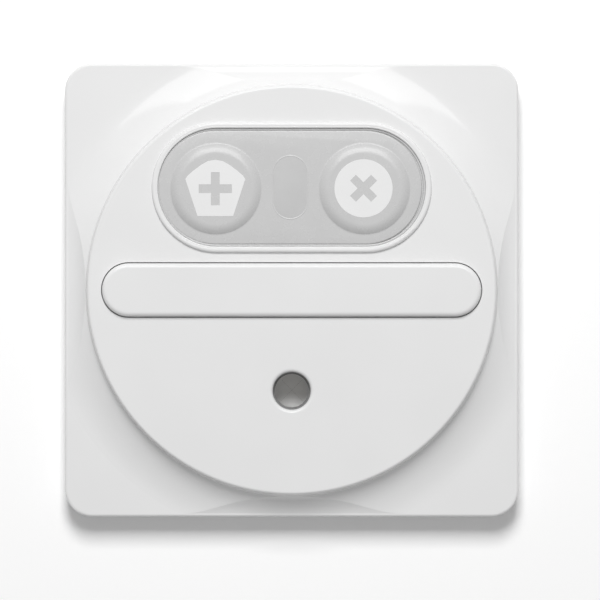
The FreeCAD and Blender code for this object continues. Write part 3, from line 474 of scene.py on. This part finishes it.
def key_caps():
    """The silicone keys: a stem, a straight foot, and a sloping shoulder that rounds into the flat top."""
    top, radius, back = KEY_TOP / MM, KEY_RADIUS / MM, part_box("call_key")[1][1] / MM
    slope, bend, flat = radians(34), 2.6, 6.7
    stem, inner, foot, cut = 2.2, radius - 0.35, MAT_FRONT / MM + 3.0, 0.2
    outline = [(0, back), (stem - cut, back), (stem, back - cut), (stem, foot)]
    outline += [(inner - cut, foot), (inner, foot - cut)]
    shoulder = flat + bend * sin(slope)
    drop = bend - bend * cos(slope) + (radius - shoulder) * sin(slope) / cos(slope)
    edge = top + drop
    outline += [(inner, edge - 0.01), (radius, edge - 0.02), (radius - 0.03, edge - 0.05)]
    for step in range(9):
        turn = slope * (8 - step) / 8
        outline.append((flat + bend * sin(turn), top + bend - bend * cos(turn)))
    outline += [(flat * 0.6, top), (0, top)]
    spots = [(r * MM, y * MM) for r, y in outline]
    for side, body in ((-1, "call_key"), (1, "reset_key")):
        cap = turned_profile(f"{body}_cap", KEY_SHIFT + KEY_X * side, KEY_LEVEL, spots, 128)
        finished(cap, "grey_silicone", body, (body,), 40)


def key_webs():
    """The thin silicone skirt that joins each key to the mat."""
    outline = [
        (0.35, 0.05), (0.35, -0.005), (0.18, -0.015), (0.07, -0.045), (0.0, -0.12), (-0.1, -0.13),
        (-0.1, 0.05),
    ]
    spots = [(KEY_RADIUS + out * MM, MAT_FACE + level * MM) for out, level in outline]
    for side, body in ((-1, "call_key"), (1, "reset_key")):
        x = KEY_SHIFT + KEY_X * side
        web = turned_profile(f"{body}_web", x, KEY_LEVEL, spots)
        work(web)
        bpy.ops.object.shade_smooth_by_angle(angle=radians(60))
        web.data.materials.append(finishes["grey_silicone"].material)
        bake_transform(web)


def slot_route(half_length, half_width, x, z, upright):
    """The points round a slot with full round ends; the first comes again as the last."""
    reach = half_length - half_width
    spots = []
    for end in (0, pi):
        for step in range(33):
            turn = end - pi / 2 + pi * step / 32
            along = (reach if end == 0 else -reach) + half_width * cos(turn)
            across = half_width * sin(turn)
            spots.append((x + across, z + along) if upright else (x + along, z + across))
    return spots + spots[:1]


def slot_plate(name, half_length, half_width, upright, back, front):
    """A thin plate with full round ends, centred on the keypad."""
    spots = slot_route(half_length, half_width, 0, 0, upright)[:-1]
    return flat_outline(name, [(u * MM, v * MM) for u, v in spots], KEY_SHIFT, KEYPAD_CENTRE, back, front)


def mat_face():
    """The mat's proud face with its rounded edge, open round the keys and over the light window."""
    face = slot_plate("mat_face", *MAT_SLOT, False, MAT_FRONT + 0.1 * MM, MAT_FACE)
    edit(face, "EDGE", lambda middle, along: middle.y < MAT_FACE + 0.01 * MM, bevel(0.3 * MM, 4))
    ends = MAT_FRONT + MM, MAT_FACE - MM
    bores = [
        new_bar("bore", KEY_SHIFT + KEY_X * side, KEY_LEVEL, KEY_RADIUS + KEY_GAP, *ends, 96)
        for side in (-1, 1)
    ]
    cut_through(face, bores + [slot_plate("window_hole", *WINDOW_SLOT, True, *ends)])
    finished(face, "grey_silicone")


def keypad_lips():
    """The seal in the gap round the mat, the bead's inner lip, the window's lip and its frosted face."""
    centre, sink = KEYPAD_CENTRE / MM, 0.02 * MM
    seal = slot_route(*SEAL_SLOT, 0, centre, False)
    flat_lines("mat_seal", [seal], 0.56 * MM, 0.35 * MM, "grey_silicone", MAT_FRONT)
    bead, height = slot_route(*BEAD_SLOT, 0, centre, False), 0.28 * MM
    flat_lines("bead_lip", [bead], height * 2, height, "white_shell", BEAD_TOP + height)
    lip = slot_route(*WINDOW_LIP_SLOT, KEY_SHIFT / MM, centre, True)
    flat_lines("window_lip", [lip], 0.34 * MM, 0.06 * MM, "grey_silicone", MAT_FACE + sink)
    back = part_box("light_window")[0][1] + 0.05 * MM
    face = slot_plate("window_face", *WINDOW_FACE_SLOT, True, back, MAT_FACE + sink)
    edit(face, "FACE", lambda middle, normal: normal.y < -0.9, inset(0.15 * MM, sink))
    finished(face, "window_lens")


# Socket: what shows in its hole

def bush_shade_ring():
    """A thin dark ring between the plate and the socket's bush, painted shade that darkens the ring round the
    bore.
    """
    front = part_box("jack_bush")[0][1] / MM
    x, _, z = middle_of("jack_bush")[0]
    outline = [(3.22, -0.1), (3.27, -0.15), (3.85, -0.15), (3.85, -0.01), (3.22, -0.01)]
    # painted shade: a dark ring that stands in for the shade round the bore
    shade_ring = turned_profile("bush_shade_ring", x, z, [(r * MM, (front + level) * MM) for r, level in outline])
    finished(shade_ring, "shade_ring_grey")


def dust_membrane():
    """The dished soft membrane in the socket, split crosswise so that a plug can pass."""
    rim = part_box("jack_bush")[1][1] / MM - 1.6
    x, _, z = middle_of("jack_bush")[0]
    front = [(0.0, 1.0), (0.9, 0.93), (1.7, 0.72), (2.4, 0.42), (2.9, 0.16), (3.26, 0.0)]
    back = [(3.26, 0.5), (2.9, 0.62), (2.4, 0.86), (1.7, 1.14), (0.9, 1.34), (0.0, 1.4)]
    spots = [(r * MM, (rim + level) * MM) for r, level in front + back]
    membrane = turned_profile("dust_membrane", x, z, spots)
    slit_reach, slit_width = 2.9 * MM, 0.02 * MM
    cut_cross(membrane, x, z, slit_reach, slit_width, pi / 4, (rim + 2) * MM, rim * MM)
    finished(membrane, "membrane_white", angle=50)


# Parts on the back of the board

def leaded_package(name, node, body_size, leads, pitch, sides, lead_width, lead_level):
    """A chip in its moulded case, with bent leads along two or four sides."""
    centre, size = middle_of(node)
    low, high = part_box(node)
    stand = 0.1 * MM
    case = new_block(
        f"{name}_case",
        (centre[0] - body_size[0] / 2, low[1] + stand, centre[2] - body_size[1] / 2),
        (centre[0] + body_size[0] / 2, high[1], centre[2] + body_size[1] / 2),
    )
    top = (centre[0], high[1], centre[2])
    edit(case, "FACE", lambda middle, normal: normal.y > 0.9, scale_about(top, 0.95, 0.95))
    edit(case, "EDGE", lambda middle, along: True, bevel(0.08 * MM, 2))
    dot_x, dot_z = centre[0] - body_size[0] * 0.34, centre[2] + body_size[1] * 0.3
    dot = new_bar(f"{name}_dot", dot_x, dot_z, 0.35 * MM, high[1] + MM, high[1] - 0.08 * MM, 24)
    cut_through(case, [dot])
    finished(case, "black_case", replaces=(node,))
    feet = []
    for turn in sides:
        across = turn in (0, pi)
        reach = size[0] / 2 if across else size[2] / 2
        half = body_size[0] / 2 if across else body_size[1] / 2
        for index in range(leads):
            feet.append(bent_lead(f"{name}_lead", centre, low[1], half, reach, lead_width, lead_level))
            shift = (index - (leads - 1) / 2) * pitch
            feet[-1].data.transform(Matrix.Translation((0, 0, shift)))
            feet[-1].data.transform(turned_about(centre[0], centre[2], turn))
    finished(joined(f"{name}_leads", feet), "solder_tin")


def bent_lead(name, centre, floor, half, reach, width, level):
    """One gull-wing lead on the +X side: out of the case, down to the board, and a flat foot."""
    thick, root, knee = 0.13 * MM, 0.1 * MM, 0.12 * MM
    x, z = centre[0], centre[2]
    lead = new_block(
        name, (x + half - root, floor + level, z - width / 2),
        (x + half + knee, floor + level + thick, z + width / 2),
    )
    foot = reach - half - knee
    edit(
        lead, "FACE", lambda middle, normal: normal.x > 0.9,
        extrude(foot * 0.4, -level + 0.01 * MM, 0),
        extrude(foot * 0.6, 0, 0),
    )
    return lead


def regulator_package():
    """The regulator: a flat moulded case with a wide tab on one side and three leads on the other."""
    centre, size = middle_of("regulator")
    low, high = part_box("regulator")
    stand, half = 0.05 * MM, 1.15 * MM
    case = new_block(
        "regulator_case", (low[0], low[1] + stand, centre[2] - half), (high[0], high[1], centre[2] + half)
    )
    top = (centre[0], high[1], centre[2])
    edit(case, "FACE", lambda middle, normal: normal.y > 0.9, scale_about(top, 0.94, 0.86))
    edit(case, "EDGE", lambda middle, along: True, bevel(0.1 * MM, 2))
    finished(case, "black_case", replaces=("regulator",))
    feet = []
    for shift, width, turn in ((-2.3, 0.7, 1), (0.0, 0.7, 1), (2.3, 0.7, 1), (0.0, 3.0, -1)):
        foot = bent_lead("regulator_lead", centre, low[1], 1.1 * MM, size[2] / 2, width * MM, 0.5 * MM)
        foot.data.transform(turned_about(centre[0], centre[2], pi / 2 * turn))
        foot.data.transform(Matrix.Translation((shift * MM, 0, 0)))
        feet.append(foot)
    finished(joined("regulator_leads", feet), "solder_tin")


def crystal_package():
    """The crystal: a ceramic base with a drawn metal lid."""
    low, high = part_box("crystal")
    base = new_block("crystal_base", low, (high[0], low[1] + 0.5 * MM, high[2]))
    edit(base, "EDGE", lambda middle, along: abs(along.y) > 0.1 * MM, bevel(0.25 * MM, 3))
    rim = 0.22 * MM
    lid = new_block(
        "crystal_lid", (low[0] + rim, low[1] + 0.45 * MM, low[2] + rim),
        (high[0] - rim, high[1], high[2] - rim),
    )
    edit(lid, "EDGE", lambda middle, along: abs(along.y) > 0.1 * MM, bevel(0.5 * MM, 4))
    edit(lid, "FACE", lambda middle, normal: normal.y > 0.9, inset(0.3 * MM), inset(0.12 * MM, 0.06 * MM))
    finished(base, "black_case")
    finished(lid, "can_metal", replaces=("crystal",))


def capacitor_can():
    """The smoothing capacitor: a rolled can with a crimped groove, on a black seat with cut corners."""
    low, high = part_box("smoothing_capacitor")
    x, _, z = middle_of("smoothing_capacitor")[0]
    seat = new_block("capacitor_seat", low, (high[0], low[1] + 0.9 * MM, high[2]))
    edit(seat, "EDGE", lambda middle, along: abs(along.y) > 0.1 * MM and middle.x < x, bevel(1.1 * MM, 1))
    edit(seat, "EDGE", lambda middle, along: True, bevel(0.06 * MM, 2))
    finished(seat, "black_case")
    base, top = low[1] / MM + 0.85, high[1] / MM
    outline = [
        (0.0, base), (2.9, base), (3.1, base + 0.15), (3.15, base + 0.5), (3.15, base + 1.1),
        (2.95, base + 1.35), (2.88, base + 1.55), (2.95, base + 1.75), (3.15, base + 2.0), (3.15, top - 0.45),
        (3.08, top - 0.16), (2.9, top - 0.02), (2.7, top), (2.5, top - 0.06), (2.3, top - 0.1),
        (0.0, top - 0.1),
    ]
    can = turned_profile("capacitor_can", x, z, [(r * MM, level * MM) for r, level in outline])
    finished(can, "capacitor_metal", replaces=("smoothing_capacitor",))


def chip_resistors():
    """Six chip resistors: a dark body with a raised top, and wrapped metal ends."""
    for number in range(1, 7):
        node = f"chip_resistor_{number}"
        low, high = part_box(node)
        skin, hidden, wrap = 0.03 * MM, 0.3 * MM, 0.38 * MM
        body = new_block(
            f"resistor_body_{number}", (low[0] + skin, low[1] + skin, low[2] + hidden),
            (high[0] - skin, high[1] - skin, high[2] - hidden),
        )
        edit(body, "FACE", lambda middle, normal: normal.y > 0.9, inset(0.08 * MM), extrude(0, skin * 0.8, 0))
        finished(body, "black_case", replaces=(node,))
        ends = []
        for side, start, stop in (("low", low[2], low[2] + wrap), ("high", high[2] - wrap, high[2])):
            end = new_block(f"resistor_end_{side}", (low[0], low[1], start), (high[0], high[1], stop))
            edit(end, "EDGE", lambda middle, along: True, bevel(0.06 * MM, 2))
            ends.append(end)
        finished(joined(f"resistor_ends_{number}", ends), "solder_tin")


def solder_joint(x, z):
    """One soldered pin on the back of the board: a hollow-sided cone with the cut pin in its top."""
    outline = [
        (0.0, -1.55), (0.95, -1.55), (0.95, -1.47), (0.86, -1.44), (0.66, -1.34), (0.5, -1.16), (0.42, -0.98),
        (0.36, -0.9), (0.27, -0.87), (0.27, -0.6), (0.22, -0.55), (0.0, -0.55),
    ]
    spots = [(radius * MM, level * MM) for radius, level in outline]
    return turned_profile("solder_joint", x * MM, z * MM, spots, 24)


def solder_joints():
    """The soldered outer pins of the two switches; the terminal block covers the other pins."""
    outer, middle, half = KEY_X / MM + 3.25, KEYPAD_CENTRE / MM, 2.25
    spots = [(outer * side, middle + shift) for side in (-1, 1) for shift in (-half, half)]
    joints = joined("solder_joints", [solder_joint(x, z) for x, z in spots])
    finished(joints, "solder_tin", angle=50)


def flat_lines(name, routes, width, height, finish, level):
    """Thin lines that lie at one level: round wires along each route, pressed flat."""
    data = bpy.data.curves.new(name, "CURVE")
    data.dimensions = "3D"
    data.bevel_depth = width / 2
    data.bevel_resolution = 2
    data.use_fill_caps = True
    for route in routes:
        spline = data.splines.new("POLY")
        closed = route[0] == route[-1]
        spots = route[:-1] if closed else route
        spline.points.add(len(spots) - 1)
        for point, (x, z) in zip(spline.points, spots):
            point.co = (x * MM, 0, z * MM, 1)
        spline.use_cyclic_u = closed
    work(in_scene(name, data))
    bpy.ops.object.convert(target="MESH")
    lines = bpy.context.object
    lines.data.transform(Matrix.Translation((0, level, 0)) @ Matrix.Diagonal((1, height * 2 / width, 1, 1)))
    finished(lines, finish, angle=60)


def board_print():
    """Tracks under the green lacquer and the white outlines of the parts."""
    tracks = [
        [(-8.2, 1.0), (-6.4, 1.0), (-4.6, 2.8), (-4.6, 8.5), (-7.4, 11.3), (-7.4, 13.6)],
        [
            (-8.2, 2.3), (-6.0, 2.3), (-5.4, 2.9), (-5.4, 9.0), (-9.6, 13.2), (-9.6, 15.0), (-10.95, 16.35),
            (-10.95, 17.35),
        ],
        [(-17.8, 4.4), (-20.6, 4.4), (-22.6, 6.4), (-22.6, 14.0), (-19.2, 17.4), (-17.45, 17.35)],
        [(-17.8, 3.1), (-21.4, 3.1), (-25.5, 7.2), (-25.5, 19.0), (-20.0, 24.5), (-17.45, 21.85)],
        [(-13.0, 6.9), (-13.0, 9.4), (-15.4, 11.8), (-15.4, 14.4)],
        [(3.8, 5.0), (6.4, 5.0), (8.6, 7.2), (8.6, 12.0), (10.95, 14.35), (10.95, 17.35)],
        [(3.8, 6.2), (5.6, 6.2), (7.4, 8.0), (7.4, 13.0), (5.1, 15.3)],
        [(13.0, -5.9), (13.0, -9.5), (7.5, -15.0)],
        [(15.3, -5.9), (15.3, -11.0), (8.4, -17.9), (7.2, -17.9)],
        [(19.6, 5.0), (22.6, 5.0), (24.8, 7.2), (24.8, 14.0), (21.45, 17.35), (17.45, 17.35)],
        [(-12.0, -8.3), (-12.0, -11.0), (-8.5, -14.5), (-7.2, -14.5)],
        [(-6.5, -1.4), (-6.5, -4.2), (-9.8, -7.5), (-9.8, -12.8), (-7.2, -15.4)],
        [(-3.5, -1.4), (-3.5, -8.8)],
        [(-0.5, -1.4), (-0.5, -6.2), (-2.2, -7.9), (-2.2, -12.0)],
        [(2.5, -1.4), (2.5, -5.6), (0.2, -7.9), (0.2, -12.0)],
        [(5.5, -1.4), (5.5, -6.4), (2.4, -9.5), (2.4, -12.0)],
        [(8.5, -1.4), (8.5, -7.0), (4.4, -11.1), (4.4, -12.2)],
        [(26.0, -6.0), (20.5, -11.5), (20.5, -21.0), (14.0, -27.5), (8.0, -27.5)],
        [(-26.0, -8.0), (-21.0, -13.0), (-21.0, -20.0), (-14.0, -27.0), (-8.0, -27.0)],
    ]
    flat_lines("board_tracks", tracks, 0.42 * MM, 0.04 * MM, "track_green", BOARD_BACK)
    gaps = {
        "controller_chip": 0.7, "line_driver_chip": 0.6, "regulator": 0.5, "crystal": 0.5,
        "smoothing_capacitor": 0.5, "terminal_block": 0.5, "jack_housing": 0.5,
    }
    frames = []
    for node, gap in gaps.items():
        low, high = [[v / MM for v in corner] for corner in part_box(node)]
        west, east, south, north = low[0] - gap, high[0] + gap, low[2] - gap, high[2] + gap
        frames.append([(west, south), (east, south), (east, north), (west, north), (west, south)])
    flat_lines("board_outlines", frames, 0.18 * MM, 0.03 * MM, "print_white", BOARD_BACK)


def rounded_case(node, width, finish):
    """A moulded case: a copy of the solid with its sharp corners broken."""
    copy = frame["nodes"][node].copy()
    copy.data = copy.data.copy()
    bpy.context.scene.collection.objects.link(copy)
    copy.name = f"{node}_case"
    copy.parent = None
    for key in list(copy.keys()):
        del copy[key]
    edit(
        copy, "FACE", lambda middle, normal: True,
        lambda: bpy.ops.mesh.remove_doubles(threshold=0.001 * MM),
        lambda: bpy.ops.mesh.dissolve_limited(angle_limit=radians(1.0)),
    )
    softener = copy.modifiers.new("edges", "BEVEL")
    softener.width = width
    softener.segments = 2
    softener.limit_method = "ANGLE"
    softener.angle_limit = radians(40)
    softener.use_clamp_overlap = True
    work(copy)
    bpy.ops.object.modifier_apply(modifier=softener.name)
    finished(copy, finish, replaces=(node,))


# Stage: wall, lamps and world

def add_wall():
    """A white wall in the plane of the plate's back, open behind the plate, seen from the front only."""
    straight = WALL_HALF - WALL_CORNER
    spots = []
    for quarter, (right, up) in enumerate(((1, 1), (-1, 1), (-1, -1), (1, -1))):
        for step in range(9):
            turn = pi / 2 * (quarter + step / 8)
            across, rise = WALL_CORNER * cos(turn), WALL_CORNER * sin(turn)
            spots.append((straight * right + across, WALL_LEVEL, straight * up + rise))
    wall = drawn("wall", spots)
    edit(
        wall, "EDGE", lambda middle, along: True,
        bpy.ops.mesh.extrude_edges_move, scale_about((0, 0, 0), WALL_REACH, WALL_REACH),
    )
    if wall.data.polygons[0].normal.y > 0:
        wall.data.flip_normals()
    finish = Finish("wall_white")
    nodes, links = finish.tree.nodes, finish.tree.links
    nodes.remove(finish.shader)
    seen = nodes.new("ShaderNodeLightPath").outputs["Is Camera Ray"]
    colour = finish.tint(seen, grey(WALL_WHITE), grey(WALL_WHITE + WALL_GAIN))
    lit = finish.node("ShaderNodeBsdfDiffuse", Color=colour)
    behind = finish.sum("MULTIPLY", nodes.new("ShaderNodeNewGeometry").outputs["Backfacing"], seen)
    clear = nodes.new("ShaderNodeBsdfTransparent")
    both = nodes.new("ShaderNodeMixShader")
    links.new(behind, both.inputs[0])
    links.new(lit.outputs[0], both.inputs[1])
    links.new(clear.outputs[0], both.inputs[2])
    links.new(both.outputs[0], nodes["Material Output"].inputs["Surface"])
    wall.data.materials.append(finish.material)


def softbox(name, place, aim, width, height, strength, glossy=True, diffuse=True):
    """A rectangular lamp turned towards a point; strength is the brightness of its face."""
    data = bpy.data.lights.new(name, "AREA")
    data.shape = "RECTANGLE"
    data.size = width
    data.size_y = height
    data.energy = strength * width * height * pi
    lamp = in_scene(name, data)
    lamp.location = place
    lamp.rotation_euler = (Vector(aim) - Vector(place)).to_track_quat("-Z", "Y").to_euler()
    lamp.visible_camera = False
    lamp.visible_glossy = glossy
    lamp.visible_diffuse = diffuse


def add_world():
    """White to the eye and in reflections, and a plain soft fill on the object."""
    world = bpy.data.worlds.new("studio")
    bpy.context.scene.world = world
    world.use_nodes = True
    nodes, links = world.node_tree.nodes, world.node_tree.links
    path = nodes.new("ShaderNodeLightPath")
    total = path.outputs["Is Camera Ray"]
    for name in ("Is Glossy Ray", "Is Transmission Ray"):
        more = nodes.new("ShaderNodeMath")
        more.operation = "MAXIMUM"
        links.new(total, more.inputs[0])
        links.new(path.outputs[name], more.inputs[1])
        total = more.outputs[0]
    level = nodes.new("ShaderNodeMapRange")
    links.new(total, level.inputs["Value"])
    level.inputs["To Min"].default_value = WORLD_FILL
    level.inputs["To Max"].default_value = 1.0
    background = nodes["Background"]
    background.inputs["Color"].default_value = grey(1.0)
    links.new(level.outputs["Result"], background.inputs["Strength"])


def add_lamps():
    """The key light above the front, a panel that the flare mirrors, and a lamp for the back."""
    centre, reach = (0, 0, 0), 0.7
    low, high, width = 0.42 * reach, 0.95 * reach, 0.4 * reach
    place = (-0.015, -reach, (low + high) / 2)
    softbox("key_softbox", place, centre, width, high - low, KEY_STRENGTH, glossy=False)
    place, aim = (0, -0.606, 0.406), (0, -0.425, 0.005)
    softbox("mirror_panel", place, aim, 0.6, 0.628, PANEL_STRENGTH, diffuse=False)
    softbox("back_softbox", (0.25, 0.7, 0.45), centre, 0.5, 0.4, BACK_STRENGTH)


bpy.context.scene.view_settings.view_transform = "Standard"
add_camera()
clear_packed_materials()
finishes = make_finishes()
dress_nodes(finishes)
key_marks()
key_caps()
key_webs()
mat_face()
keypad_lips()
bush_shade_ring()
dust_membrane()
leaded_package(
    "controller", "controller_chip", body_size=(7.4 * MM, 7.4 * MM), leads=11, pitch=0.65 * MM,
    sides=(0, pi / 2, pi, -pi / 2), lead_width=0.3 * MM, lead_level=0.6 * MM,
)
leaded_package(
    "line_driver", "line_driver_chip", body_size=(5.0 * MM, 2.7 * MM), leads=4, pitch=1.27 * MM,
    sides=(pi / 2, -pi / 2), lead_width=0.42 * MM, lead_level=0.7 * MM,
)
regulator_package()
crystal_package()
capacitor_can()
chip_resistors()
solder_joints()
board_print()
rounded_case("jack_housing", 0.25 * MM, "black_case")
rounded_case("terminal_block", 0.2 * MM, "terminal_green")
add_wall()
add_lamps()
add_world()
